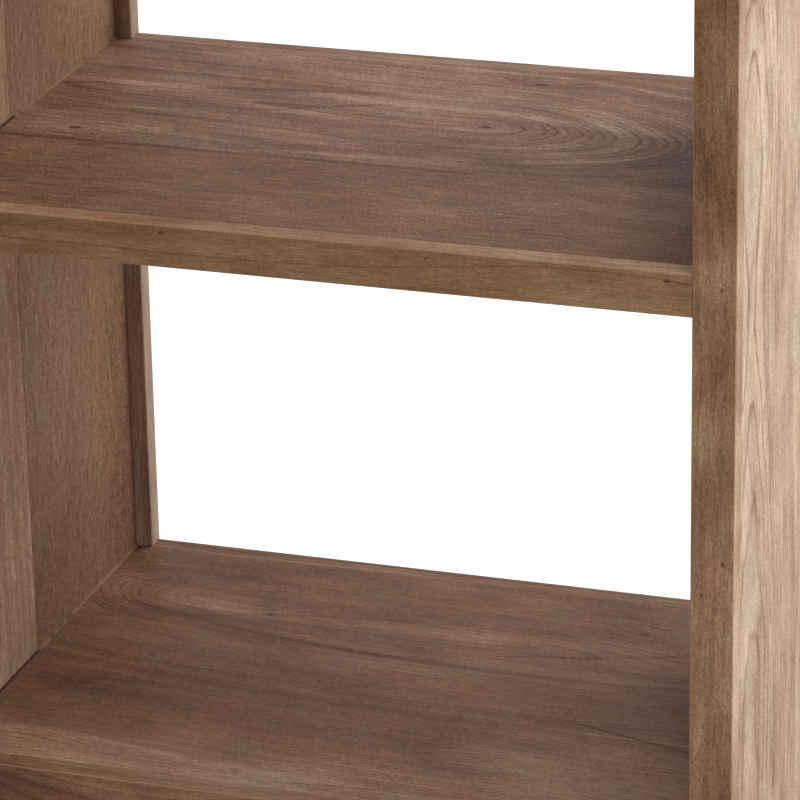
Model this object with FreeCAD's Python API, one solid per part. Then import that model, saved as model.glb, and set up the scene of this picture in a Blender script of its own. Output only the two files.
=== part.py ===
"""Tall open shelving unit in solid wood, sizes in millimetres.

Two framed sides carry five fixed shelves. Every frame member and board is cut from one
stock thickness. Boards meet each other and the frame in tongue and groove, shelf ends have
barefaced tongues in housings cut across the sides, and stub tenons hold the rails in the stiles.

Frame: X to the right, Y to the back, Z up, origin on the floor under the middle of the unit.
"""
import FreeCAD, Part
import os

Vector = FreeCAD.Vector

# Overall size
WIDTH = 600.0
DEPTH = 410.0
HEIGHT = 1800.0

# Stock
STOCK = 17.0            # thickness of every board and depth of every frame member
STILE_WIDTH = 30.0      # width of a stile seen from the front
RAIL_HEIGHT = 30.0      # height of a rail seen from the front
EASE = 1.2              # rounding of the arrises that a hand can reach
FOOT_CHAMFER = 1.5      # chamfer round the feet of the sides

# Shelves
SHELF_COUNT = 5
SHELF_PITCH = 420.0

# Places of the edge joints, measured back from the front face
SIDE_SEAM = 186.0
SHELF_SEAM = 160.0
SEAM_EASE = 0.8         # small chamfer on the inner arris of a side's front board

# Joints
TONGUE = 6.0            # thickness and length of a tongue
HOUSING = 5.0           # depth of the shelf housings across the sides
SHOULDER = 5.0          # step from a shelf's top face down to the tongues at its ends
TENON_LENGTH = 14.0     # stub tenons at the ends of the rails
TENON_THICKNESS = 7.0
TENON_HEIGHT = 18.0
TENON_INSET = 3.5       # from the outer face of the rail to the tenon, which clears the grooves

# Floor glides
GLIDE_DIAMETER = 14.0
GLIDE_HEIGHT = 3.0
GLIDE_EDGE = 1.0        # bevel round the rim
NAIL_DIAMETER = 2.5
NAIL_LENGTH = 16.0
NAIL_POINT = 4.0

# Derived places
HALF_WIDTH = WIDTH / 2
HALF_DEPTH = DEPTH / 2
STILE_INNER = HALF_WIDTH - STILE_WIDTH      # inner faces of the stiles, and the rail ends
SIDE_INNER = HALF_WIDTH - STOCK             # inner faces of the side boards
SHELF_END = SIDE_INNER + HOUSING            # ends of the shelf tongues inside their housings
BOARD_FRONT = -HALF_DEPTH + STOCK           # where boards meet the front frame
BOARD_BACK = HALF_DEPTH - STOCK             # where boards meet the rear frame
SIDE_SEAM_Y = -HALF_DEPTH + SIDE_SEAM
SHELF_SEAM_Y = -HALF_DEPTH + SHELF_SEAM
SHELF_TOPS = [HEIGHT - SHELF_PITCH * (SHELF_COUNT - 1 - i) for i in range(SHELF_COUNT)]

SIDES = {"left": -1, "right": 1}
ENDS = {"front": -1, "rear": 1}
TOLERANCE = 0.01        # for finding edges by their place


def block(x0, x1, y0, y1, z0, z1):
    """Rectangular solid between two corners, given in any order."""
    low = Vector(min(x0, x1), min(y0, y1), min(z0, z1))
    return Part.makeBox(abs(x1 - x0), abs(y1 - y0), abs(z1 - z0), low)


def edges_through(shape, axis, points):
    """Straight edges along one axis that pass through the given points of the cross-section."""
    along = "xyz".index(axis)
    across = [i for i in range(3) if i != along]
    found = []
    for edge in shape.Edges:
        ends = [vertex.Point for vertex in edge.Vertexes]
        if len(ends) != 2 or abs(ends[0][along] - ends[1][along]) < TOLERANCE:
            continue
        for point in points:
            gaps = [abs(end[i] - want) for end in ends for i, want in zip(across, point)]
            if max(gaps) < TOLERANCE:
                found.append(edge)
    return found


def tenon(side, end, top):
    """Stub at one end of a rail, also used to cut the mortise in the stile."""
    y = end * (HALF_DEPTH - TENON_INSET)
    middle = top - RAIL_HEIGHT / 2
    return block(side * STILE_INNER, side * (STILE_INNER + TENON_LENGTH), y, y - end * TENON_THICKNESS,
                 middle - TENON_HEIGHT / 2, middle + TENON_HEIGHT / 2)


def stile_centre(side, end):
    """Middle of a stile's foot, where its glide is nailed: (x, y)."""
    return side * (HALF_WIDTH - STILE_WIDTH / 2), end * (HALF_DEPTH - STOCK / 2)


def stile(side, end):
    """Upright frame member with a groove for the side board, mortises and a nail hole."""
    outer, inner = side * HALF_WIDTH, side * STILE_INNER
    face, back = end * HALF_DEPTH, end * (HALF_DEPTH - STOCK)
    body = block(outer, inner, face, back, GLIDE_HEIGHT, HEIGHT)
    foot = edges_through(body, "x", [(face, GLIDE_HEIGHT)])
    foot += edges_through(body, "y", [(outer, GLIDE_HEIGHT), (inner, GLIDE_HEIGHT)])
    body = body.makeChamfer(FOOT_CHAMFER, foot)
    arrises = edges_through(body, "z", [(outer, face), (inner, face), (inner, back)])
    arrises += edges_through(body, "x", [(face, HEIGHT)])
    arrises += edges_through(body, "y", [(outer, HEIGHT)])
    body = body.makeFillet(EASE, arrises)

    groove = upright_tongue(side, back, end)
    mortises = [tenon(side, end, top) for top in SHELF_TOPS]
    return body.cut([groove, glide(side, end)] + mortises)


def glide(side, end):
    """Floor disc with a bevelled rim and its nail, turned about the middle of a stile's foot."""
    radius, shank = GLIDE_DIAMETER / 2, NAIL_DIAMETER / 2
    tip = GLIDE_HEIGHT + NAIL_LENGTH
    profile = [(0, 0), (radius - GLIDE_EDGE, 0), (radius, GLIDE_EDGE), (radius, GLIDE_HEIGHT),
               (shank, GLIDE_HEIGHT), (shank, tip - NAIL_POINT), (0, tip), (0, 0)]
    outline = Part.makePolygon([Vector(r, 0, z) for r, z in profile])
    turned = Part.Face(outline).revolve(Vector(0, 0, 0), Vector(0, 0, 1), 360)
    turned.translate(Vector(*stile_centre(side, end), 0))
    return turned


def housings(side):
    """Slots across the inside of one side that take the tongues at the shelf ends."""
    return [block(side * SIDE_INNER, side * SHELF_END, BOARD_FRONT, BOARD_BACK,
                  top - STOCK, top - SHOULDER) for top in SHELF_TOPS]


def upright_tongue(side, y, direction):
    """Tongue on the edge of a side board at y, also used to cut the groove that takes it."""
    middle = side * (HALF_WIDTH - STOCK / 2)
    return block(middle - TONGUE / 2, middle + TONGUE / 2, y, y + direction * TONGUE,
                 GLIDE_HEIGHT, HEIGHT)


def side_board(side, end):
    """One of the two boards of a side: the front one carries the tongue of their joint."""
    outer, inner = side * HALF_WIDTH, side * SIDE_INNER
    frame_edge = BOARD_FRONT if end < 0 else BOARD_BACK
    body = block(outer, inner, frame_edge, SIDE_SEAM_Y, GLIDE_HEIGHT, HEIGHT)
    foot = edges_through(body, "y", [(outer, GLIDE_HEIGHT), (inner, GLIDE_HEIGHT)])
    body = body.makeChamfer(FOOT_CHAMFER, foot)
    body = body.makeFillet(EASE, edges_through(body, "y", [(outer, HEIGHT)]))
    seam_tongue = upright_tongue(side, SIDE_SEAM_Y, 1)
    if end < 0:
        body = body.makeChamfer(SEAM_EASE, edges_through(body, "z", [(inner, SIDE_SEAM_Y)]))
        body = body.fuse(seam_tongue)
    else:
        body = body.cut(seam_tongue)
    body = body.fuse(upright_tongue(side, frame_edge, end))
    return body.cut(housings(side)).removeSplitter()


def level_tongue(half_length, y, direction, top):
    """Tongue along the edge of a shelf board at y, also used to cut its groove."""
    middle = top - STOCK / 2
    return block(-half_length, half_length, y, y + direction * TONGUE,
                 middle - TONGUE / 2, middle + TONGUE / 2)


def shelf_board(end, top):
    """Front or rear board of a shelf, shouldered at both ends: the front one carries the tongue."""
    frame_edge = BOARD_FRONT if end < 0 else BOARD_BACK
    body = block(-SIDE_INNER, SIDE_INNER, frame_edge, SHELF_SEAM_Y, top - STOCK, top)
    body = body.fuse(block(-SHELF_END, SHELF_END, frame_edge, SHELF_SEAM_Y, top - STOCK, top - SHOULDER))
    seam_tongue = level_tongue(SHELF_END, SHELF_SEAM_Y, 1, top)
    body = body.fuse(seam_tongue) if end < 0 else body.cut(seam_tongue)
    return body.fuse(level_tongue(STILE_INNER, frame_edge, end, top)).removeSplitter()


def rail(end, top):
    """Cross member of the front or rear frame, grooved for the shelf board and tenoned."""
    face, back = end * HALF_DEPTH, end * (HALF_DEPTH - STOCK)
    bottom = top - RAIL_HEIGHT
    body = block(-STILE_INNER, STILE_INNER, face, back, bottom, top)
    arrises = edges_through(body, "x", [(face, top), (face, bottom), (back, bottom)])
    body = body.makeFillet(EASE, arrises)
    body = body.cut(level_tongue(STILE_INNER, back, end, top))
    return body.fuse([tenon(side, end, top) for side in SIDES.values()]).removeSplitter()


def build():
    """All pieces by node name."""
    pieces = {}
    for end_name, end in ENDS.items():
        for side_name, side in SIDES.items():
            place = f"{end_name}_{side_name}"
            pieces[f"stile_{place}"] = stile(side, end)
            pieces[f"side_board_{place}"] = side_board(side, end)
            pieces[f"glide_{place}"] = glide(side, end)
        for number, top in enumerate(SHELF_TOPS, start=1):
            pieces[f"shelf_{number}_{end_name}_rail"] = rail(end, top)
            pieces[f"shelf_{number}_{end_name}_board"] = shelf_board(end, top)
    return pieces


os.makedirs("parts", exist_ok=True)
for node, shape in build().items():
    if not shape.isValid():
        raise ValueError(f"{node} is not a valid solid")
    shape.exportStep(f"parts/{node}.step")
    print(f"{node}: {len(shape.Solids)} solid(s), {shape.Volume / 1000:.1f} cm3")
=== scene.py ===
"""Looks of a tall open shelving unit: brown stained hardwood on a pale studio floor.

Every solid comes from the frame. This file gives each board its own cut of wood, runs a thin
bead of filler along the joints of shelves and sides, and sets the floor, lights and camera.
Lengths are in metres.
"""
import math
import random
from typing import NamedTuple

import bmesh
import bpy
from mathutils import Matrix, Vector, noise


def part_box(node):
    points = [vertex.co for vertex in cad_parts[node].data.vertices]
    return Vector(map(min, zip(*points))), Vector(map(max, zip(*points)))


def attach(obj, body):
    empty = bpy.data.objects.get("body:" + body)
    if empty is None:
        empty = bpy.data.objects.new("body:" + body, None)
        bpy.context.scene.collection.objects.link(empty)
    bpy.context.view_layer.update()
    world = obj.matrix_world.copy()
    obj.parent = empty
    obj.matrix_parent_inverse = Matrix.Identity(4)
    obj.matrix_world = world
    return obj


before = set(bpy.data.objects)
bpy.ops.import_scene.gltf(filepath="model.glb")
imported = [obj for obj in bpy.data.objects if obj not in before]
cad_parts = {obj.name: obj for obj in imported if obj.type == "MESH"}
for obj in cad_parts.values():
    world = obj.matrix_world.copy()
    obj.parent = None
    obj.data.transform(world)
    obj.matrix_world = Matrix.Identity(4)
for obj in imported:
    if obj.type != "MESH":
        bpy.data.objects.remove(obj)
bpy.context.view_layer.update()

bl_info = {
    "name": "Stained shelving unit",
    "version": (1, 0, 0),
    "blender": (4, 5, 0),
    "location": "View3D > Sidebar > Shelving",
    "description": "Finishes the boards of a tall shelving unit and sets its studio stage",
    "category": "Object",
}

MM = 0.001
SIDES = ("left", "right")
ENDS = ("front", "rear")
SHELVES = (1, 2, 3, 4, 5)
COLOUR_A, COLOUR_B, MIXED = 6, 7, 2     # sockets of a Mix node that mixes colours


def linear(code):
    """Linear colour with alpha from an sRGB hex value."""
    parts = [int(code[i:i + 2], 16) / 255 for i in (1, 3, 5)]
    return [c / 12.92 if c <= 0.04045 else ((c + 0.055) / 1.055) ** 2.4 for c in parts] + [1.0]


def add(tree, kind, inputs=None, out=0, stops=(), **settings):
    """Add a shader node with its settings, ramp stops and inputs, and give one of its outputs."""
    made = tree.nodes.new(kind)
    for name, value in settings.items():
        setattr(made, name, value)
    for key, value in (inputs or {}).items():
        if isinstance(value, bpy.types.NodeSocket):
            tree.links.new(value, made.inputs[key])
        else:
            made.inputs[key].default_value = value
    while stops and len(made.color_ramp.elements) < len(stops):
        made.color_ramp.elements.new(1.0)
    for place, (position, colour) in enumerate(stops):
        made.color_ramp.elements[place].position = position
        made.color_ramp.elements[place].color = colour
    return made.outputs[out] if made.outputs else None


def new_material(name):
    """Empty node material and the tree to fill."""
    material = bpy.data.materials.new(name)
    material.use_nodes = True
    material.node_tree.nodes.clear()
    return material, material.node_tree


# Cuts of wood


class Spot(NamedTuple):
    """Oval place on a board that is paler or darker, or where its rings are raised."""
    along: float
    across: float
    half_length: float
    half_width: float
    paler: float = 0.0
    raised: float = 0.0             # in rings


class Knot(NamedTuple):
    """Pin knot."""
    along: float
    across: float
    half_width: float


class Mineral(NamedTuple):
    """Mineral streak, bowed between two points that are given along and across the grain."""
    start: tuple
    stop: tuple
    sag: float
    half_width: float
    paler: float


class Cut(NamedTuple):
    """How one board was sawn from its log. Places are in the frame, along and across the grain."""
    face: int = 1                   # which side of the board is the show face, along its thickness
    log: str = ""                   # boards of one log share their markings
    eye: tuple = (0.0, 0.0)         # where the heart of the log comes nearest to the show face
    depth: float = 60 * MM          # how far the heart is outside that face there, negative inside
    ahead: float = 0.05             # how fast it draws away in the grain's positive direction
    behind: float = 0.05            # and in the negative direction
    lean: float = 0.0               # slope of the grain across the board
    sway: float = 5 * MM            # side to side wandering of the grain
    ring: float = 3 * MM            # thickness of a year's growth
    phase: float = 0.0              # shift of the ring lines, in rings
    warp: float = 1.2               # unevenness of the rings, in rings
    fine: float = 0.3               # where in a year's growth its late wood begins to darken
    lines: float = 0.4              # strength of the ring lines
    bands: float = 0.5              # strength of the colour bands that follow the rings
    streaks: float = 0.5            # strength of the long streaks
    veins: float = 0.2              # strength of the thin dark veins
    fibres: float = 0.5             # strength of the fine fibres
    flecks: float = 0.5             # strength of the short flecks
    coarse: float = 1.0             # how much wider than their usual size the finest marks are drawn
    mottle: float = 0.55            # strength of the uneven stain
    tone: float = 0.5               # place of the board between the dark and pale colours
    tint: tuple = (1.0, 1.0, 1.0)   # stain taken up, by colour channel; on some boards it also holds a painted reflection
    faded: tuple = (1.4, 1.75, 2.0)  # painted light: how much paler and greyer the face turned to the light is painted
    sheen: float = 0.25             # strength of the lacquer's reflection
    spots: tuple = ()
    knots: tuple = ()
    minerals: tuple = ()


# Cuts of the boards with a figure of their own
LOWER_SHELF = dict(
    log="lower shelf", eye=(-0.200, 0.102), depth=2 * MM, ahead=0.05, behind=0.5, lean=-0.06,
    ring=4.3 * MM, warp=2.0, fine=0.6, lines=0.4, bands=0.3, streaks=0.18, veins=0.1, fibres=0.4,
    flecks=0.55, mottle=0.6, tone=0.3, tint=(0.86, 0.865, 0.915),
    spots=(Spot(-0.195, 0.102, 0.06, 0.03, 0.2), Spot(0.0, -0.21, 0.9, 0.15, 0.5),
           Spot(0.1, 0.02, 0.3, 0.2, 0.14), Spot(-0.2, 0.17, 0.2, 0.06, -0.1),
           Spot(-0.22, -0.08, 0.15, 0.08, -0.1), Spot(0.19, -0.1, 0.18, 0.1, 0.40),
           Spot(0.25, 0.05, 0.1, 0.3, -0.15), Spot(0.149, 0.132, 0.05, 0.02, -0.1, raised=2),
           Spot(-0.232, 0.03, 0.05, 0.02, 0.1, raised=2), Spot(0.22, -0.01, 0.12, 0.05, raised=3),
           Spot(-0.224, -0.144, 0.05, 0.02, 0.05, raised=2)),
    knots=(Knot(0.149, 0.132, 3 * MM), Knot(-0.136, 0.090, 3 * MM)),
    minerals=(Mineral((-0.285, 0.099), (-0.005, 0.043), -13 * MM, 5 * MM, -0.22),
              Mineral((-0.27, 0.108), (0.03, 0.054), -13 * MM, 3 * MM, -0.12),
              Mineral((-0.08, 0.048), (0.24, 0.049), -9 * MM, 5 * MM, -0.18),
              Mineral((0.12, -0.024), (0.30, -0.070), -1 * MM, 3 * MM, -0.35),
              Mineral((0.04, 0.063), (0.26, 0.130), -6 * MM, 3 * MM, -0.22),
              Mineral((-0.24, 0.094), (0.18, 0.106), -7 * MM, 16 * MM, 0.18),
              Mineral((-0.16, 0.088), (-0.02, 0.107), 0.0, 3 * MM, -0.22),
              Mineral((-0.20, -0.145), (-0.11, -0.160), 0.0, 6 * MM, 0.22),
              Mineral((-0.10, -0.183), (0.20, -0.158), 0.0, 2.5 * MM, -0.15)))
CUTS = {
    "shelf_1_rear_board": LOWER_SHELF,
    "shelf_1_front_board": LOWER_SHELF,
    "shelf_2_rear_board": dict(
        eye=(0.052, 0.052), depth=2 * MM, ahead=0.5, behind=0.04, lean=-0.07, ring=4.3 * MM, warp=1.6,
        fine=0.5, lines=0.5, bands=0.65, streaks=0.7, veins=0.2, flecks=0.8, mottle=0.7,
        # Painted reflection: besides the stain, its bluish tint stands for the grey sheen of the bright
        # backdrop reflected in the lacquer
        tint=(0.83, 0.86, 0.96),
        # Painted shade: the darker spot at the right end stands for the shade beside the right side
        spots=(Spot(0.0, 0.09, 0.25, 0.12, 0.15), Spot(0.29, 0.0, 0.17, 0.4, -0.50),
               Spot(-0.2, 0.1, 0.2, 0.12, -0.12), Spot(0.063, 0.157, 0.05, 0.02, -0.12, raised=4),
               Spot(-0.231, -0.023, 0.05, 0.02, 0.08, raised=2)),
        knots=(Knot(-0.231, -0.023, 4 * MM), Knot(0.052, 0.052, 3 * MM), Knot(0.063, 0.157, 4 * MM)),
        minerals=(Mineral((-0.30, 0.086), (0.20, 0.066), 12 * MM, 14 * MM, 0.22),
                  Mineral((-0.14, -0.046), (0.14, -0.004), -4 * MM, 7 * MM, 0.2),
                  Mineral((-0.10, -0.026), (0.12, 0.018), 5 * MM, 4 * MM, 0.15),
                  Mineral((-0.18, 0.086), (-0.03, 0.110), 0.0, 5 * MM, -0.3),
                  Mineral((-0.14, 0.040), (-0.02, 0.088), 0.0, 5 * MM, -0.25),
                  Mineral((-0.26, 0.024), (-0.05, 0.056), 0.0, 4 * MM, 0.15),
                  Mineral((-0.27, -0.026), (-0.18, -0.012), 8 * MM, 2.5 * MM, -0.2),
                  Mineral((-0.265, -0.036), (-0.18, -0.018), -8 * MM, 2.5 * MM, -0.2))),
    "shelf_2_front_board": dict(
        eye=(0.1, 0.12), depth=180 * MM, ahead=0.02, behind=-0.02, lean=-0.02, ring=2.2 * MM, warp=2.0,
        lines=0.1, bands=0.2, streaks=0.25, veins=0.0, fibres=0.7, flecks=0.9, tint=(0.86, 0.865, 0.91),
        # Painted shade: the darker spot at the right end stands for the shade beside the right side
        spots=(Spot(-0.28, -0.1, 0.25, 0.3, -0.15), Spot(0.15, -0.1, 0.2, 0.3, 0.14),
               Spot(0.27, -0.1, 0.1, 0.3, -0.24), Spot(0.0, -0.20, 0.6, 0.07, -0.10)),
        minerals=(Mineral((-0.34, -0.049), (0.10, -0.048), 0.0, 6 * MM, -0.22),
                  Mineral((0.0, -0.050), (0.30, -0.048), 0.0, 5 * MM, -0.15))),
    "shelf_1_front_rail": dict(
        streaks=0.6, tint=(0.91, 0.90, 0.88), faded=(1.06, 1.17, 1.27),
        spots=(Spot(-0.23, 0.105, 0.07, 0.05, -0.3),)),
    "shelf_1_rear_rail": dict(tint=(0.66, 0.63, 0.66), streaks=0.9, veins=0.3, faded=(1.0, 1.0, 1.0)),
    "shelf_2_rear_rail": dict(tint=(0.84, 0.87, 0.97), streaks=1.2, veins=0.4, faded=(1.0, 1.0, 1.0)),
    "shelf_2_front_rail": dict(
        eye=(0.0, 0.62), depth=40 * MM, ahead=0.0, behind=0.0, lean=0.0, sway=1.5 * MM, ring=32 * MM,
        phase=0.534, warp=0.15, fine=0.93, lines=0.9, bands=0.1, streaks=0.4, fibres=0.6, flecks=0.5,
        mottle=0.7, tint=(0.83, 0.805, 0.69), faded=(1.57, 1.83, 2.2),
        spots=(Spot(-0.28, 0.52, 0.25, 0.3, -0.07), Spot(0.24, 0.52, 0.25, 0.3, 0.10),
               Spot(0.2, 0.525, 0.22, 0.3, raised=0.45), Spot(-0.2, 0.533, 0.14, 0.008, -0.15),
               Spot(0.21, 0.516, 0.08, 0.014, 0.12)),
        knots=(Knot(-0.097, 0.535, 1.4 * MM), Knot(0.089, 0.534, 0.9 * MM), Knot(0.253, 0.534, 1.6 * MM))),
    "stile_front_right": dict(
        eye=(0.4, 0.20), depth=90 * MM, ring=6 * MM, lines=0.15, bands=0.2, streaks=0.25, fibres=0.5,
        flecks=0.7, mottle=1.0, tint=(1.07, 1.075, 1.04), faded=(1.24, 1.53, 1.77),
        spots=(Spot(0.275, 0.285, 0.09, 0.3, 0.16), Spot(0.68, 0.285, 0.15, 0.3, -0.15),
               Spot(0.17, 0.285, 0.09, 0.3, -0.18), Spot(0.54, 0.285, 0.03, 0.03, 0.18),
               Spot(0.60, 0.285, 0.05, 0.03, -0.12), Spot(0.478, 0.292, 0.035, 0.02, -0.09),
               Spot(0.374, 0.282, 0.03, 0.02, -0.12), Spot(0.43, 0.280, 0.03, 0.02, 0.12)),
        knots=(Knot(0.531, 0.290, 1.2 * MM), Knot(0.338, 0.292, 1.5 * MM), Knot(0.314, 0.278, 1.2 * MM))),
    "side_board_front_right": dict(
        eye=(0.35, -0.160), depth=-200 * MM, ahead=-0.0174, behind=0.033, ring=2.5 * MM, phase=3.4,
        warp=1.6, fine=0.72, lines=0.55, bands=0.35, streaks=0.3, veins=0.3, fibres=0.5, flecks=0.5,
        tint=(0.93, 0.93, 0.92), faded=(1.40, 1.78, 2.10),
        spots=(Spot(0.12, -0.15, 0.25, 0.4, -0.12), Spot(0.68, -0.15, 0.2, 0.4, 0.08))),
    # Painted reflection: with no sheen, the pale bluish tints of the two left side boards stand for the
    # grey veil of the lacquer's reflection, besides the stain
    "side_board_rear_left": dict(
        eye=(0.3, 0.4), depth=250 * MM, ring=2 * MM, lines=0.05, bands=0.1, streaks=0.1, veins=0.0,
        fibres=0.4, flecks=0.6, mottle=0.2, sheen=0.0, tint=(1.15, 1.30, 1.54), faded=(1.11, 1.11, 0.99),
        spots=(Spot(0.14, 0.05, 0.14, 0.4, -0.14), Spot(0.40, 0.02, 0.24, 0.09, 0.18),
               Spot(0.3, 0.165, 0.4, 0.075, -0.2))),
    "side_board_front_left": dict(
        eye=(0.3, -0.4), depth=120 * MM, ring=2 * MM, lines=0.1, bands=0.2, fibres=0.4, mottle=0.3,
        sheen=0.0, tint=(1.55, 1.83, 2.23), faded=(0.81, 0.79, 0.70)),
    "stile_rear_left": dict(
        eye=(0.3, -0.4), depth=120 * MM, ring=3 * MM, lines=0.1, bands=0.2, flecks=0.25, sheen=0.1,
        tint=(1.27, 1.62, 2.06), faded=(1.00, 0.90, 0.74),
        # Painted shade and light: the narrow front-facing face is painted darker just under the second
        # shelf and paler lower down
        spots=(Spot(0.53, -0.281, 0.18, 0.013, -0.40), Spot(0.15, -0.281, 0.18, 0.013, 0.25))),
    "stile_front_left": dict(tint=(0.95, 0.95, 0.95), faded=(1.35, 1.52, 1.6)),
}

NARROW = 50 * MM                    # boards narrower than this are cut well away from the heart
NARROW_SLOPE = 0.2                  # and nearly along it


def axes_of(node):
    """A board's axes along the grain, across it and through it, and whether it is a narrow one."""
    low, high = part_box(node)
    sizes = [b - a for a, b in zip(low, high)]
    thick, wide, long = sorted(range(3), key=sizes.__getitem__)
    return (long, wide, thick), sizes[wide] < NARROW


def cut_of(node, face):
    """The cut of a board: its own where it has one, with the rest drawn from its name."""
    chance = random.Random(node)
    low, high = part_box(node)
    (long, wide, _), narrow = axes_of(node)
    slope = NARROW_SLOPE if narrow else 1.0
    depth_of_stain = chance.uniform(0.85, 1.05)
    aside = chance.choice((-1, 1)) * chance.uniform(30, 80) * MM if narrow else 0.0
    cut = {
        "face": face,
        "log": node,
        "eye": (chance.uniform(low[long], high[long]), chance.uniform(low[wide], high[wide]) + aside),
        "depth": (chance.uniform(60, 140) if narrow else chance.uniform(5, 70)) * MM,
        "ahead": chance.uniform(0.04, 0.16) * slope,
        "behind": chance.uniform(0.02, 0.12) * slope,
        "lean": chance.uniform(-0.02, 0.02),
        "sway": chance.uniform(3, 7) * MM,
        "ring": chance.uniform(2.5, 4.5) * MM,
        "lines": chance.uniform(0.2, 0.5),
        "bands": chance.uniform(0.3, 0.7),
        "veins": 0.0 if narrow else chance.uniform(0.1, 0.3),
        "coarse": 1.0 if narrow else 2.5,
        "tint": (depth_of_stain,) * 3,
        # Painted light: gain of the colour on the face turned to the light
        "faded": (1.15, 1.2, 1.25) if "rail" in node else (1.4, 1.75, 2.0),
    }
    cut.update(CUTS.get(node, {}))
    return Cut(**cut)


# Grain

# Sizes of the marks, along and across the fibres
FLECK = (1.5 * MM, 1.2 * MM)        # real vessels are near 0.2 mm wide: drawn coarser to show
FIBRE = (16 * MM, 1.4 * MM)         # drawn coarser, as the flecks are
PORE = (5 * MM, 0.9 * MM)           # real pores are near 0.3 mm wide: drawn coarser to show
STREAK = (110 * MM, 8 * MM)
VEIN = (160 * MM, 7 * MM)
MOTTLE = (80 * MM, 34 * MM)
HUE = (60 * MM, 45 * MM)            # the stain's cast changes over patches of this size

# Other lengths
SWAY_LENGTH = 330 * MM              # over which the grain wanders to one side
HEART_BEND = 4 * MM                 # rounding of the turn where the heart comes nearest
SPOT_SKIN = 3 * MM                  # under the face of a wide board, spots are whole to this depth
SPOT_ROOT = 14 * MM                 # and gone at this one
MINERAL_WAVE = 8 * MM               # wandering of the mineral streaks
RELIEF = 0.2 * MM                   # height of the fibres over the pores

# Shares and levels
MEAN_NOISE = 0.5
MEAN_LINE = 0.25                    # of a ring line, over the part of the year that it darkens
MEAN_VEIN = 0.08
SHIFT = 50                          # chance moves each mark's pattern by up to this many marks
SWAY_SHIFT = 90                     # and the wandering of the grain by this many sways
SIDE_SHARE = 0.15                   # how much streaks and veins change from side to side of the heart
VEIN_LEVEL = 0.04                   # half width of a vein, as a span of its noise
BOW_PEAK = 0.25                     # of run times rest, halfway along a mineral streak
MINERAL_TAPER = 0.12                # run times rest where a mineral streak has its full strength
BANDS_PER_RING = 0.45
CHANGES_PER_RING = 0.9              # how often the strength of the ring lines changes
RING_END = 0.95                     # where in a year's growth its late wood is darkest
TONE_STOPS = (0.0, 0.33, 0.6, 1.0)  # of late wood, shade, body and pale colour
CAST = ((0.35, (0.96, 1.0, 1.0, 1.0)), (0.65, (1.04, 0.99, 0.99, 1.0)))     # cooler to warmer
PORE_START, PORE_FULL = 0.60, 0.72  # levels of the noise where a pore begins and is darkest
PORE_DEPTH = 1.5                    # of the pores, against the height of the fibres
RELIEF_STRENGTH = 0.2
KNOT_SCALE = (0.5, 1.0)             # knots are twice as long as wide
KNOT_CORE = 0.4                     # share of the half width that is evenly dark
KNOT_DARKNESS = 0.8
TURNED_FROM, TURNED_TO = 0.7, 0.95  # how squarely a face looks towards the light before it gets painted light
PAINTED_LIGHT_STOPS = (0.0, 0.3, 0.5)        # tones with no painted light, with that of dark tones and with all of it
DARK_PAINTED_LIGHT = (0.7, 0.36, 0.1)      # share of the painted light that dark tones get, by colour channel
FLAT, ROUND = 0.99, 0.85            # largest part of a normal on a flat face and on an eased arris
LACQUER_IOR = 1.5
FIBRE_LOW, FIBRE_HIGH = 0.3, 0.7    # usual range of the fibres' noise
GLOSSIER, DULLER = 0.06, 0.08       # change of roughness at the two ends of that range


class Board(NamedTuple):
    """A board's cut and axes, and the shader sockets that say where a point lies in it."""
    tree: bpy.types.NodeTree
    cut: Cut
    axes: tuple
    narrow: bool
    local: bpy.types.NodeSocket     # from the point where the heart comes nearest
    along: bpy.types.NodeSocket
    across: bpy.types.NodeSocket
    outward: bpy.types.NodeSocket   # through the board, in the axis' positive direction


def by_axis(pair, axes):
    """A pair of values along and across the grain as a vector in the frame's axes."""
    made = [0.0, 0.0, 0.0]
    made[axes[0]], made[axes[1]] = pair
    return made


def lay_board(tree, node, face):
    """Start the shader of a board with the place of a point in it."""
    cut = cut_of(node, face)
    axes, narrow = axes_of(node)
    long, wide, thick = axes
    low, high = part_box(node)
    nearest = by_axis(cut.eye, axes)
    nearest[thick] = (high if cut.face > 0 else low)[thick] + cut.face * cut.depth
    place = add(tree, "ShaderNodeTexCoord", out="Object")
    local = add(tree, "ShaderNodeVectorMath", {0: place, 1: nearest}, operation="SUBTRACT")
    parts = add(tree, "ShaderNodeSeparateXYZ", {0: local}).node.outputs
    return Board(tree, cut, axes, narrow, local, parts[long], parts[wide], parts[thick])


def face_distance(board, place, scale):
    """Distance over the face from a spot or knot, scaled along and across the grain."""
    tree, eye = board.tree, board.cut.eye
    centre = by_axis((place.along - eye[0], place.across - eye[1]), board.axes)
    off = add(tree, "ShaderNodeVectorMath", {0: board.local, 1: centre}, operation="SUBTRACT")
    scaled = add(tree, "ShaderNodeVectorMath", {0: off, 1: by_axis(scale, board.axes)},
                 operation="MULTIPLY")
    return add(tree, "ShaderNodeVectorMath", {0: scaled}, out="Value", operation="LENGTH")


def heart_distance(board, across, drift):
    """Distance from the heart of the log, which draws away from the face to both sides of its eye."""
    tree, cut = board.tree, board.cut
    rise = add(tree, "ShaderNodeMath", {0: board.along, 1: cut.ahead}, operation="MULTIPLY")
    fall = add(tree, "ShaderNodeMath", {0: board.along, 1: -cut.behind}, operation="MULTIPLY")
    heart = add(tree, "ShaderNodeMath", {0: rise, 1: fall, 2: HEART_BEND}, operation="SMOOTH_MAX")
    heart = add(tree, "ShaderNodeMath", {0: board.outward, 1: -cut.face, 2: heart},
                operation="MULTIPLY_ADD")
    heart = add(tree, "ShaderNodeMath", {0: drift, 1: cut.sway, 2: heart}, operation="MULTIPLY_ADD")
    flat = add(tree, "ShaderNodeCombineXYZ", {0: across, 1: heart})
    return add(tree, "ShaderNodeVectorMath", {0: flat}, out="Value", operation="LENGTH")


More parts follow.
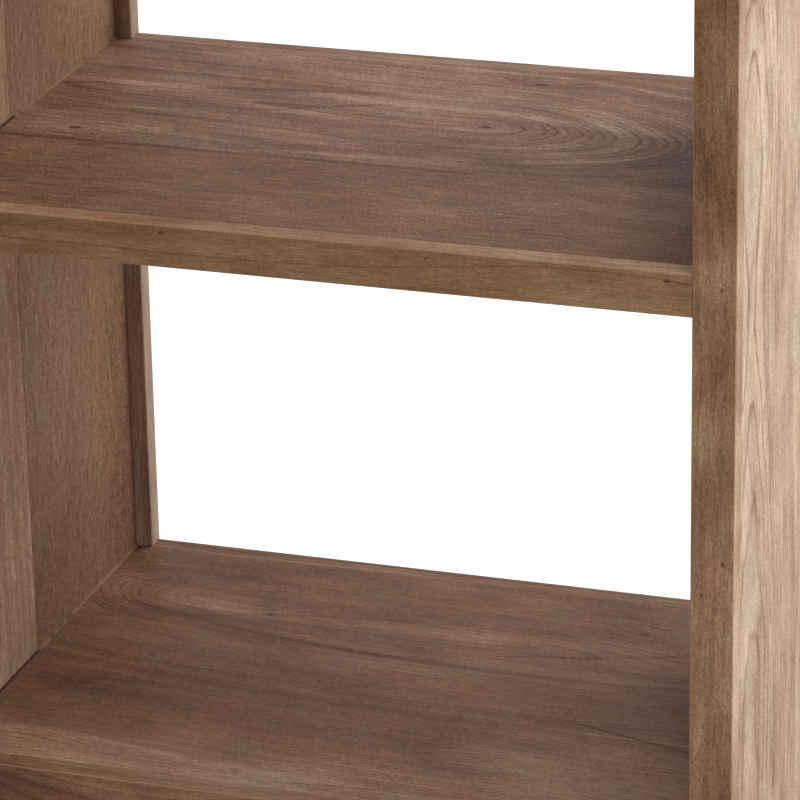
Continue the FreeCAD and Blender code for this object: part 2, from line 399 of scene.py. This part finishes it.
def spot_shares(board):
    """How much of each spot shows at a point. In a wide board the spots die out under the face."""
    tree, cut = board.tree, board.cut
    shown = 1.0
    if not board.narrow:
        under = add(tree, "ShaderNodeMath", {0: board.outward, 1: -cut.face, 2: -cut.depth},
                    operation="MULTIPLY_ADD")
        shown = add(tree, "ShaderNodeMapRange", {0: under, 1: SPOT_ROOT, 2: SPOT_SKIN})
    shares = []
    for spot in cut.spots:
        away = face_distance(board, spot, (1 / spot.half_length, 1 / spot.half_width))
        shares.append(add(tree, "ShaderNodeMapRange", {0: away, 1: 1.0, 2: 0.0, 4: shown},
                          interpolation_type="SMOOTHSTEP"))
    return shares


def mineral_shares(board, mottle, streak):
    """How much of each mineral streak shows at a point: they wander and taper to both ends."""
    if not board.cut.minerals:
        return []
    tree, eye = board.tree, board.cut.eye
    wavy = add(tree, "ShaderNodeMath", {0: mottle, 1: MINERAL_WAVE, 2: board.across},
               operation="MULTIPLY_ADD")
    shares = []
    for mineral in board.cut.minerals:
        (start, from_side), (stop, to_side) = mineral.start, mineral.stop
        first_side = from_side - eye[1] + MEAN_NOISE * MINERAL_WAVE
        run = add(tree, "ShaderNodeMapRange", {0: board.along, 1: start - eye[0], 2: stop - eye[0]})
        rest = add(tree, "ShaderNodeMath", {0: 1.0, 1: run}, operation="SUBTRACT")
        bow = add(tree, "ShaderNodeMath", {0: run, 1: rest}, operation="MULTIPLY")
        middle = add(tree, "ShaderNodeMath", {0: run, 1: to_side - from_side, 2: first_side},
                     operation="MULTIPLY_ADD")
        middle = add(tree, "ShaderNodeMath", {0: bow, 1: mineral.sag / BOW_PEAK, 2: middle},
                     operation="MULTIPLY_ADD")
        off = add(tree, "ShaderNodeMath", {0: wavy, 1: middle}, operation="SUBTRACT")
        off = add(tree, "ShaderNodeMath", {0: off}, operation="ABSOLUTE")
        taper = add(tree, "ShaderNodeMapRange", {0: bow, 1: 0.0, 2: MINERAL_TAPER})
        strength = add(tree, "ShaderNodeMath", {0: taper, 1: streak}, operation="MULTIPLY")
        shares.append(add(tree, "ShaderNodeMapRange",
                          {0: off, 1: mineral.half_width, 2: 0.0, 4: strength},
                          interpolation_type="SMOOTHSTEP"))
    return shares


def ring_marks(board, radius):
    """Uneven colour bands, and lines where each year's growth darkens outwards to a sharp end."""
    tree, cut = board.tree, board.cut
    count = add(tree, "ShaderNodeMath", {0: radius, 1: 1 / cut.ring, 2: cut.phase},
                operation="MULTIPLY_ADD")
    band = add(tree, "ShaderNodeTexNoise", {"W": count, "Scale": BANDS_PER_RING, "Detail": 2.0},
               noise_dimensions="1D")
    season = add(tree, "ShaderNodeMath", {0: count}, operation="FRACT")
    late = add(tree, "ShaderNodeMapRange", {0: season, 1: cut.fine, 2: RING_END},
               interpolation_type="SMOOTHSTEP")
    ended = add(tree, "ShaderNodeMapRange", {0: season, 1: 1.0, 2: RING_END})
    strength = add(tree, "ShaderNodeTexNoise", {"W": count, "Scale": CHANGES_PER_RING, "Detail": 0.0},
                   noise_dimensions="1D")
    line = add(tree, "ShaderNodeMath", {0: late, 1: ended}, operation="MULTIPLY")
    line = add(tree, "ShaderNodeMath", {0: line, 1: strength}, operation="MULTIPLY")
    return band, line


def mark(tree, chance, place, size, detail):
    """Noise stretched along the grain, from a part of the pattern that chance picks."""
    shift = [chance.uniform(0, SHIFT) for _ in range(3)]
    scale = (1 / size[0], 1 / size[1], 1 / size[1])
    moved = add(tree, "ShaderNodeMapping", {"Vector": place, "Location": shift, "Scale": scale})
    return add(tree, "ShaderNodeTexNoise", {"Vector": moved, "Scale": 1.0, "Detail": detail})


def figure(board):
    """Figure of a board: its tone from dark to pale, its patches of hue, its fibres and its pores."""
    tree, cut = board.tree, board.cut
    chance = random.Random(cut.log + " grain")

    # The grain leans and wanders
    shift = chance.uniform(0, SWAY_SHIFT)
    sway = add(tree, "ShaderNodeMath", {0: board.along, 1: 1 / SWAY_LENGTH, 2: shift},
               operation="MULTIPLY_ADD")
    wander = add(tree, "ShaderNodeTexNoise", {"W": sway, "Scale": 1.0, "Detail": 1.0}, out="Color",
                 noise_dimensions="1D", normalize=False)
    drift = add(tree, "ShaderNodeSeparateXYZ", {0: wander}).node.outputs
    across = add(tree, "ShaderNodeMath", {0: board.along, 1: -cut.lean, 2: board.across},
                 operation="MULTIPLY_ADD")
    across = add(tree, "ShaderNodeMath", {0: drift[0], 1: cut.sway, 2: across}, operation="MULTIPLY_ADD")
    grain = add(tree, "ShaderNodeCombineXYZ", {0: board.along, 1: across, 2: board.outward})

    # Rings lie round the heart and are raised at some spots
    radius = heart_distance(board, across, drift[1])
    spots = spot_shares(board)
    for share, spot in zip(spots, cut.spots):
        radius = add(tree, "ShaderNodeMath", {0: share, 1: spot.raised * cut.ring, 2: radius},
                     operation="MULTIPLY_ADD")

    # The finest marks and the uneven stain lie straight, streaks and veins follow the rings
    mottle = mark(tree, chance, grain, MOTTLE, 2.0)
    fibre = mark(tree, chance, grain, (FIBRE[0], FIBRE[1] * cut.coarse), 2.0)
    pore = mark(tree, chance, grain, (PORE[0] * cut.coarse, PORE[1] * cut.coarse), 0.0)
    fleck = mark(tree, chance, grain, (FLECK[0], FLECK[1] * cut.coarse), 1.0)
    radius = add(tree, "ShaderNodeMath", {0: mottle, 1: cut.ring * cut.warp, 2: radius},
                 operation="MULTIPLY_ADD")
    aside = add(tree, "ShaderNodeMath", {0: across, 1: SIDE_SHARE}, operation="MULTIPLY")
    flow = add(tree, "ShaderNodeCombineXYZ", {0: board.along, 1: radius, 2: aside})
    streak = mark(tree, chance, flow, STREAK, 3.0)
    level = mark(tree, chance, flow, VEIN, 1.0)
    level = add(tree, "ShaderNodeMath", {0: level, 1: MEAN_NOISE}, operation="SUBTRACT")
    level = add(tree, "ShaderNodeMath", {0: level}, operation="ABSOLUTE")
    vein = add(tree, "ShaderNodeMapRange", {0: level, 1: VEIN_LEVEL, 2: 0.0})
    vein = add(tree, "ShaderNodeMath", {0: vein, 1: fibre}, operation="MULTIPLY")
    hue = mark(tree, chance, grain, HUE, 1.0)
    minerals = mineral_shares(board, mottle, streak)
    band, line = ring_marks(board, radius)

    # Tone from dark to pale: the start value makes up for the means of the layers
    layers = ((band, cut.bands), (streak, cut.streaks), (fibre, cut.fibres), (fleck, cut.flecks),
              (mottle, cut.mottle))
    tone = cut.tone - MEAN_NOISE * sum(weight for _, weight in layers)
    tone += MEAN_LINE * (1 - cut.fine) * cut.lines + MEAN_VEIN * cut.veins
    layers += ((line, -cut.lines), (vein, -cut.veins))
    layers += tuple((share, spot.paler) for share, spot in zip(spots, cut.spots))
    layers += tuple((share, mineral.paler / MEAN_NOISE) for share, mineral in zip(minerals, cut.minerals))
    for layer, weight in layers:
        tone = add(tree, "ShaderNodeMath", {0: layer, 1: weight, 2: tone}, operation="MULTIPLY_ADD")
    return tone, hue, fibre, pore


# Materials


def stained_wood(node, face, finish, lit=None):
    """Figured hardwood, planed and sanded, stained brown and sealed with a matt lacquer.

    Growth rings show as soft bands and lines that close into ovals where the saw passed near the
    heart of the log. Streaks and veins follow them, fibres, pores and flecks lie straight, and
    mineral streaks cross the face. The stain is uneven. The face turned to the light gets painted light:
    its colour is scaled by the cut's painted-light gain, on most boards paler and greyer.
    """
    material, tree = new_material("stained_hardwood_" + node)
    board = lay_board(tree, node, face)
    cut = board.cut
    tone, hue, fibre, pore = figure(board)

    colours = (finish.late_colour, finish.shade_colour, finish.body_colour, finish.pale_colour)
    stops = [(place, [c * t for c, t in zip(colour, cut.tint + (1.0,))])
             for place, colour in zip(TONE_STOPS, colours)]
    colour = add(tree, "ShaderNodeValToRGB", {0: tone}, stops=stops)
    cast = add(tree, "ShaderNodeValToRGB", {0: hue}, stops=CAST)
    colour = add(tree, "ShaderNodeMix", {0: 1.0, COLOUR_A: colour, COLOUR_B: cast}, out=MIXED,
                 data_type="RGBA", blend_type="MULTIPLY")

    # Pores and pin knots hold more stain
    pore = add(tree, "ShaderNodeMapRange", {0: pore, 1: PORE_START, 2: PORE_FULL, 3: 0.0,
                                            4: finish.pore_strength})
    colour = add(tree, "ShaderNodeMix", {0: pore, COLOUR_A: colour, COLOUR_B: finish.pore_colour},
                 out=MIXED, data_type="RGBA")
    for knot in cut.knots:
        away = face_distance(board, knot, KNOT_SCALE)
        dark = add(tree, "ShaderNodeMapRange", {0: away, 1: KNOT_CORE * knot.half_width, 2: knot.half_width,
                                                3: KNOT_DARKNESS, 4: 0.0})
        colour = add(tree, "ShaderNodeMix", {0: dark, COLOUR_A: colour, COLOUR_B: finish.pore_colour},
                     out=MIXED, data_type="RGBA")

    # Painted light: the face turned to the light is painted with the cut's gain, mostly paler and greyer,
    # but its dark tones keep more of their warm colour
    normal = add(tree, "ShaderNodeNewGeometry", out="Normal")
    if lit:
        way = add(tree, "ShaderNodeVectorMath", {0: normal, 1: lit}, out="Value", operation="DOT_PRODUCT")
        share = add(tree, "ShaderNodeMapRange", {0: way, 1: TURNED_FROM, 2: TURNED_TO})
        dark_painted_light = [1 + part * (f - 1) for part, f in zip(DARK_PAINTED_LIGHT, cut.faded)] + [1.0]
        steps = ((1.0, 1.0, 1.0, 1.0), dark_painted_light, cut.faded + (1.0,))
        paler = add(tree, "ShaderNodeValToRGB", {0: tone}, stops=tuple(zip(PAINTED_LIGHT_STOPS, steps)))
        colour = add(tree, "ShaderNodeMix", {0: share, COLOUR_A: colour, COLOUR_B: paler}, out=MIXED,
                     data_type="RGBA", blend_type="MULTIPLY")

    # Eased arrises are rubbed paler
    upright = add(tree, "ShaderNodeVectorMath", {0: normal}, operation="ABSOLUTE")
    sides = add(tree, "ShaderNodeSeparateXYZ", {0: upright}).node.outputs
    flatness = add(tree, "ShaderNodeMath", {0: sides[0], 1: sides[1]}, operation="MAXIMUM")
    flatness = add(tree, "ShaderNodeMath", {0: flatness, 1: sides[2]}, operation="MAXIMUM")
    rubbed = add(tree, "ShaderNodeMapRange", {0: flatness, 1: FLAT, 2: ROUND, 3: 0.0, 4: finish.arris_wear})
    colour = add(tree, "ShaderNodeMix", {0: rubbed, COLOUR_A: colour, COLOUR_B: finish.pale_colour},
                 out=MIXED, data_type="RGBA")

    height = add(tree, "ShaderNodeMath", {0: pore, 1: -PORE_DEPTH, 2: fibre}, operation="MULTIPLY_ADD")
    bump = add(tree, "ShaderNodeBump", {"Height": height, "Strength": RELIEF_STRENGTH, "Distance": RELIEF})
    rough = add(tree, "ShaderNodeMapRange", {0: fibre, 1: FIBRE_LOW, 2: FIBRE_HIGH,
                                             3: finish.roughness - GLOSSIER, 4: finish.roughness + DULLER})
    surface = add(tree, "ShaderNodeBsdfPrincipled", {
        "Base Color": colour, "Roughness": rough, "Normal": bump, "IOR": LACQUER_IOR,
        "Specular IOR Level": cut.sheen})
    add(tree, "ShaderNodeOutputMaterial", {"Surface": surface})
    return material


FILLER_GRIT = 12 * MM               # size of the patches where the filler took up stain
FILLER_FRONT = -30 * MM             # from here to the front of the unit the filler is painted darkest, as painted shade of the open joint
FILLER_PALER, FILLER_FRONT_SHADE = 0.15, -0.2    # shift of the stain at the back, and painted shade of the open joint at the front
FILLER_RELIEF = 0.3 * MM


def knifed_filler(bead):
    """Wood filler pressed in with a knife and wiped with stain.

    It is dull and chalky, nearly as pale as the wood at the back, and painted dark towards the front as the
    shade of an open joint.
    """
    material, tree = new_material("knifed_wood_filler")
    place = add(tree, "ShaderNodeTexCoord", out="Object")
    back = add(tree, "ShaderNodeSeparateXYZ", {0: place}, out="Y")
    # Painted shade: towards the front the filler is painted darker, standing for the shade in the open
    # joint there
    paler = add(tree, "ShaderNodeMapRange", {0: back, 1: 0.0, 2: FILLER_FRONT, 3: FILLER_PALER,
                                             4: FILLER_FRONT_SHADE})
    grit = add(tree, "ShaderNodeTexNoise", {"Vector": place, "Scale": 1 / FILLER_GRIT, "Detail": 4.0})
    stain = add(tree, "ShaderNodeMath", {0: grit, 1: paler}, operation="ADD")
    colour = add(tree, "ShaderNodeValToRGB", {0: stain},
                 stops=[(0.35, bead.stain_and_shade_colour), (0.6, bead.colour)])
    bump = add(tree, "ShaderNodeBump", {"Height": grit, "Strength": 0.5, "Distance": FILLER_RELIEF})
    surface = add(tree, "ShaderNodeBsdfPrincipled", {
        "Base Color": colour, "Roughness": 0.8, "Normal": bump, "IOR": 1.5, "Specular IOR Level": 0.2})
    add(tree, "ShaderNodeOutputMaterial", {"Surface": surface})
    return material


GLIDE_SPECKLE = 0.6 * MM
GLIDE_RELIEF = 0.1 * MM


def moulded_glides():
    """Dark brown polyethylene, moulded: waxy, with a fine speckle from the mould."""
    material, tree = new_material("moulded_polyethylene_glides")
    place = add(tree, "ShaderNodeTexCoord", out="Object")
    speck = add(tree, "ShaderNodeTexNoise", {"Vector": place, "Scale": 1 / GLIDE_SPECKLE, "Detail": 2.0})
    colour = add(tree, "ShaderNodeValToRGB", {0: speck},
                 stops=[(0.3, linear("#2b211b")), (0.7, linear("#3b2e26"))])
    bump = add(tree, "ShaderNodeBump", {"Height": speck, "Strength": 0.3, "Distance": GLIDE_RELIEF})
    surface = add(tree, "ShaderNodeBsdfPrincipled", {
        "Base Color": colour, "Roughness": 0.5, "Normal": bump, "IOR": 1.51})
    add(tree, "ShaderNodeOutputMaterial", {"Surface": surface})
    return material


GLOW_FROM, GLOW_TO = -0.3, 0.4      # where the floor's own light begins and reaches its full strength


def acrylic_floor(stage):
    """Translucent acrylic sheet, cast matt: even and dull, and lit from below behind the unit."""
    material, tree = new_material("translucent_acrylic_floor")
    place = add(tree, "ShaderNodeTexCoord", out="Object")
    back = add(tree, "ShaderNodeSeparateXYZ", {0: place}, out="Y")
    glow = add(tree, "ShaderNodeMapRange", {0: back, 1: GLOW_FROM, 2: GLOW_TO, 3: stage.front_glow,
                                            4: stage.back_glow}, interpolation_type="SMOOTHSTEP")
    surface = add(tree, "ShaderNodeBsdfPrincipled", {
        "Base Color": list(stage.floor_colour), "Roughness": 0.8, "Specular IOR Level": 0.2,
        "Emission Color": (1, 1, 1, 1), "Emission Strength": glow})
    add(tree, "ShaderNodeOutputMaterial", {"Surface": surface})
    return material


def dress(node, material):
    """Put one material on every slot of a node's object."""
    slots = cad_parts[node].data.materials
    for place in range(len(slots)):
        slots[place] = material
    if not slots:
        slots.append(material)


# Settings


class WoodFinish(bpy.types.PropertyGroup):
    """Colours and sheen of the stained wood."""
    late_colour: bpy.props.FloatVectorProperty(
        name="Late wood", description="Darkest colour of the ring lines", size=4, subtype="COLOR",
        min=0, max=1, default=linear("#5f4029"))
    shade_colour: bpy.props.FloatVectorProperty(
        name="Shade", description="Colour of the darker streaks", size=4, subtype="COLOR",
        min=0, max=1, default=linear("#886248"))
    body_colour: bpy.props.FloatVectorProperty(
        name="Body", description="Common colour of the stained wood", size=4, subtype="COLOR",
        min=0, max=1, default=linear("#a17a5d"))
    pale_colour: bpy.props.FloatVectorProperty(
        name="Pale", description="Colour of the early wood and of rubbed arrises", size=4, subtype="COLOR",
        min=0, max=1, default=linear("#c9a586"))
    pore_colour: bpy.props.FloatVectorProperty(
        name="Pores", description="Colour of stain held in pores and pin knots", size=4, subtype="COLOR",
        min=0, max=1, default=linear("#3d2a1e"))
    pore_strength: bpy.props.FloatProperty(
        name="Pore strength", description="How dark the pores are", subtype="FACTOR", min=0, max=1,
        default=0.25)
    arris_wear: bpy.props.FloatProperty(
        name="Arris wear", description="How pale the eased arrises are rubbed", subtype="FACTOR",
        min=0, max=1, default=0.3)
    roughness: bpy.props.FloatProperty(
        name="Roughness", description="Sheen of the matt lacquer", subtype="FACTOR", min=0, max=1,
        default=0.55)


class FillerBead(bpy.types.PropertyGroup):
    """Filler in the joints between shelves and sides."""
    size: bpy.props.FloatProperty(
        name="Size", description="Usual width of the bead", unit="LENGTH", min=0, default=1.6 * MM)
    unevenness: bpy.props.FloatProperty(
        name="Unevenness", description="How much the width changes along the bead", subtype="FACTOR",
        min=0, max=0.6, default=0.5)
    wave: bpy.props.FloatProperty(
        name="Wave", description="Length over which the width changes", unit="LENGTH", min=0.001,
        default=30 * MM)
    step: bpy.props.FloatProperty(
        name="Step", description="Length of one facet of the bead", unit="LENGTH", min=0.001,
        default=4 * MM)
    colour: bpy.props.FloatVectorProperty(
        name="Filler", description="Colour of the filler", size=4, subtype="COLOR", min=0, max=1,
        default=linear("#8c6a50"))
    # Colour of the filler's stain patches, and of the painted shade in the open joints towards the front
    stain_and_shade_colour: bpy.props.FloatVectorProperty(
        name="Stained filler", description="Colour where the filler took up stain", size=4, subtype="COLOR",
        min=0, max=1, default=linear("#452c20"))


class StudioStage(bpy.types.PropertyGroup):
    """Floor, lights and camera."""
    floor_colour: bpy.props.FloatVectorProperty(
        name="Floor", description="Colour of the floor", size=4, subtype="COLOR", min=0, max=1,
        default=linear("#bcbcba"))
    back_glow: bpy.props.FloatProperty(
        name="Back glow", description="Light given off by the floor behind the unit", min=0, default=0.65)
    front_glow: bpy.props.FloatProperty(
        name="Front glow", description="Light given off by the floor before the unit", min=0, default=0.05)
    sky_glow: bpy.props.FloatProperty(
        name="Sky glow", description="Light of the studio overhead", min=0, default=0.50)
    key_power: bpy.props.FloatProperty(
        name="Key light", description="Power of the large light at the right", unit="POWER", min=0,
        default=45.0)
    back_power: bpy.props.FloatProperty(
        name="Back light", description="Power of the high light behind", unit="POWER", min=0, default=80.0)
    front_power: bpy.props.FloatProperty(
        name="Front light", description="Power of the high light before the unit", unit="POWER", min=0,
        default=33.0)
    aim: bpy.props.FloatVectorProperty(
        name="Aim", description="Point at the centre of the picture", size=3, subtype="XYZ", unit="LENGTH",
        default=(0.0016, 0.0, 0.346))
    distance: bpy.props.FloatProperty(
        name="Distance", description="From the aim to the camera", unit="LENGTH", min=0.1, default=3.2396)
    turn: bpy.props.FloatProperty(
        name="Turn", description="Camera swung round to the right", unit="ROTATION",
        default=math.radians(18.358))
    tilt: bpy.props.FloatProperty(
        name="Tilt", description="Camera looking down", unit="ROTATION", default=math.radians(-21.678))
    roll: bpy.props.FloatProperty(
        name="Roll", description="Camera leaning", unit="ROTATION", default=math.radians(1.090))
    lens: bpy.props.FloatProperty(
        name="Lens", description="Focal length on a 36 mm sensor", unit="CAMERA", min=1, default=202.57)


# Operators


class SHELVING_OT_stiles(bpy.types.Operator):
    """Stain the upright frame members"""
    bl_idname = "shelving.stiles"
    bl_label = "Stain the stiles"

    def execute(self, context):
        for side, outward in zip(SIDES, (-1, 1)):
            for end, face in zip(ENDS, (-1, 1)):
                node = f"stile_{end}_{side}"
                # Painted light: the outer faces are painted with each cut's painted-light gain
                dress(node, stained_wood(node, face, context.scene.shelving_wood, (outward, 0, 0)))
        return {"FINISHED"}


class SHELVING_OT_sides(bpy.types.Operator):
    """Stain the boards of the two sides"""
    bl_idname = "shelving.sides"
    bl_label = "Stain the side boards"

    def execute(self, context):
        for side, outward in zip(SIDES, (-1, 1)):
            for end in ENDS:
                node = f"side_board_{end}_{side}"
                # Painted light: the outer faces are painted with each cut's painted-light gain
                dress(node, stained_wood(node, 1, context.scene.shelving_wood, (outward, 0, 0)))
        return {"FINISHED"}


class SHELVING_OT_rails(bpy.types.Operator):
    """Stain the rails at the front and rear edges of the shelves"""
    bl_idname = "shelving.rails"
    bl_label = "Stain the rails"

    def execute(self, context):
        for shelf in SHELVES:
            for end, face in zip(ENDS, (-1, 1)):
                node = f"shelf_{shelf}_{end}_rail"
                # Painted light: the tops of the rails are painted with each cut's painted-light gain
                dress(node, stained_wood(node, face, context.scene.shelving_wood, (0, 0, 1)))
        return {"FINISHED"}


class SHELVING_OT_shelves(bpy.types.Operator):
    """Stain the boards of the shelves"""
    bl_idname = "shelving.shelves"
    bl_label = "Stain the shelf boards"

    def execute(self, context):
        for shelf in SHELVES:
            for end in ENDS:
                node = f"shelf_{shelf}_{end}_board"
                dress(node, stained_wood(node, 1, context.scene.shelving_wood))
        return {"FINISHED"}


class SHELVING_OT_glides(bpy.types.Operator):
    """Finish the floor glides"""
    bl_idname = "shelving.glides"
    bl_label = "Finish the glides"

    def execute(self, context):
        material = moulded_glides()
        for side in SIDES:
            for end in ENDS:
                dress(f"glide_{end}_{side}", material)
        return {"FINISHED"}


# Section of a bead, out from the side and up from the shelf: the knife leaves it hollow
BEAD_SECTION = ((0, 0), (1, 0), (0.4, 0.4), (0, 1))
FINE_WAVES = 4                      # small waves of a bead's width to one broad wave
FINE_SHARE = 0.5                    # and their size against it


def bead_rows(shape, bead, shelf, side, inward):
    """Sections of one bead from front to back, as rows of points in the shape."""
    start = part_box("stile_front_left")[1][1]
    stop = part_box("stile_rear_left")[0][1]
    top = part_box(f"shelf_{shelf}_front_board")[1][2]
    low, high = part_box(f"side_board_front_{side}")
    wall = high[0] if inward > 0 else low[0]
    count = round((stop - start) / bead.step)
    rows = []
    for place in range(count + 1):
        y = start + (stop - start) * place / count
        broad = noise.noise(Vector((y / bead.wave, shelf, inward)))
        fine = FINE_SHARE * noise.noise(Vector((FINE_WAVES * y / bead.wave, shelf, inward)))
        width = bead.size * (1 + bead.unevenness * (broad + fine))
        height = bead.size * (1 + bead.unevenness * (broad - fine))
        rows.append([shape.verts.new((wall + inward * out * width, y, top + up * height))
                     for out, up in BEAD_SECTION])
    return rows


class SHELVING_OT_beads(bpy.types.Operator):
    """Run a thin uneven bead of filler along the joints of shelves and sides"""
    bl_idname = "shelving.beads"
    bl_label = "Fill the joints"

    def execute(self, context):
        bead = context.scene.shelving_bead
        shape = bmesh.new()
        for shelf in SHELVES[:-1]:
            for side, inward in zip(SIDES, (1, -1)):
                rows = bead_rows(shape, bead, shelf, side, inward)
                for row, beyond in zip(rows, rows[1:]):
                    for a, b in ((0, 1), (1, 2), (2, 3), (3, 0)):
                        shape.faces.new((row[a], row[b], beyond[b], beyond[a]))
                shape.faces.new(rows[0])
                shape.faces.new(rows[-1])
        bmesh.ops.recalc_face_normals(shape, faces=shape.faces)
        mesh = bpy.data.meshes.new("filler_beads")
        shape.to_mesh(mesh)
        shape.free()
        mesh.materials.append(knifed_filler(bead))
        beads = bpy.data.objects.new("filler_beads", mesh)
        context.scene.collection.objects.link(beads)
        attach(beads, "root")
        return {"FINISHED"}


FLOOR_HALF = 15.0
HORIZON = 0.06                      # height in the sky where its white rim ends
LIGHT_SIZE = 2.5
LIGHT_AIM = Vector((0, 0, 0.4))
CLIP_END = 100.0


class SHELVING_OT_stage(bpy.types.Operator):
    """Set the floor, lights and camera"""
    bl_idname = "shelving.stage"
    bl_label = "Set the stage"

    def execute(self, context):
        scene = context.scene
        stage = scene.shelving_stage
        scene.view_settings.view_transform = "Standard"

        mesh = bpy.data.meshes.new("floor")
        corners = ((-1, -1), (1, -1), (1, 1), (-1, 1))
        mesh.from_pydata([(x * FLOOR_HALF, y * FLOOR_HALF, 0) for x, y in corners], [], [(0, 1, 2, 3)])
        mesh.materials.append(acrylic_floor(stage))
        floor = bpy.data.objects.new("floor", mesh)
        scene.collection.objects.link(floor)

        world = bpy.data.worlds.new("studio")
        scene.world = world
        world.use_nodes = True
        tree = world.node_tree
        tree.nodes.clear()
        way = add(tree, "ShaderNodeTexCoord", out="Generated")
        up = add(tree, "ShaderNodeSeparateXYZ", {0: way}, out="Z")
        sky = add(tree, "ShaderNodeMapRange", {0: up, 1: 0.0, 2: HORIZON, 3: 1.0, 4: stage.sky_glow})
        glow = add(tree, "ShaderNodeBackground", {"Color": (1, 1, 1, 1), "Strength": sky})
        add(tree, "ShaderNodeOutputWorld", {"Surface": glow})

        for name, place, power in (("key_light", (3.29, 0.0, 1.60), stage.key_power),
                                   ("back_light", (1.13, 1.95, 3.08), stage.back_power),
                                   ("front_light", (1.54, -1.29, 3.27), stage.front_power)):
            data = bpy.data.lights.new(name, "AREA")
            data.size = LIGHT_SIZE
            data.energy = power
            light = bpy.data.objects.new(name, data)
            light.location = place
            light.rotation_euler = (LIGHT_AIM - Vector(place)).to_track_quat("-Z", "Y").to_euler()
            scene.collection.objects.link(light)

        data = bpy.data.cameras.new("camera")
        data.lens = stage.lens
        data.clip_end = CLIP_END
        camera = bpy.data.objects.new("camera", data)
        turned = (Matrix.Rotation(stage.turn, 4, "Z") @ Matrix.Rotation(stage.tilt, 4, "X")
                  @ Matrix.Rotation(stage.roll, 4, "Y"))
        ahead = turned @ Vector((0, 1, 0))
        camera.matrix_world = (Matrix.Translation(Vector(stage.aim) - ahead * stage.distance) @ turned
                               @ Matrix.Rotation(math.pi / 2, 4, "X"))
        scene.collection.objects.link(camera)
        scene.camera = camera
        return {"FINISHED"}


OPERATORS = (SHELVING_OT_stiles, SHELVING_OT_sides, SHELVING_OT_rails, SHELVING_OT_shelves,
             SHELVING_OT_glides, SHELVING_OT_beads, SHELVING_OT_stage)


class SHELVING_PT_panel(bpy.types.Panel):
    """Steps that finish the unit, in order"""
    bl_idname = "SHELVING_PT_panel"
    bl_label = "Shelving unit"
    bl_space_type = "VIEW_3D"
    bl_region_type = "UI"
    bl_category = "Shelving"

    def draw(self, context):
        for step in OPERATORS:
            self.layout.operator(step.bl_idname)
        scene = context.scene
        for settings in (scene.shelving_wood, scene.shelving_bead, scene.shelving_stage):
            box = self.layout.box()
            for name in settings.bl_rna.properties.keys():
                if name not in ("rna_type", "name"):
                    box.prop(settings, name)


CLASSES = (WoodFinish, FillerBead, StudioStage) + OPERATORS + (SHELVING_PT_panel,)


def register():
    """Make the classes and settings known to Blender."""
    for made in CLASSES:
        bpy.utils.register_class(made)
    bpy.types.Scene.shelving_wood = bpy.props.PointerProperty(type=WoodFinish)
    bpy.types.Scene.shelving_bead = bpy.props.PointerProperty(type=FillerBead)
    bpy.types.Scene.shelving_stage = bpy.props.PointerProperty(type=StudioStage)


def unregister():
    """Take the settings and classes away again."""
    del bpy.types.Scene.shelving_stage
    del bpy.types.Scene.shelving_bead
    del bpy.types.Scene.shelving_wood
    for made in reversed(CLASSES):
        bpy.utils.unregister_class(made)


def main():
    """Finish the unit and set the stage."""
    register()
    bpy.ops.shelving.stiles()
    bpy.ops.shelving.sides()
    bpy.ops.shelving.rails()
    bpy.ops.shelving.shelves()
    bpy.ops.shelving.glides()
    bpy.ops.shelving.beads()
    bpy.ops.shelving.stage()


if __name__ == "__main__":
    main()
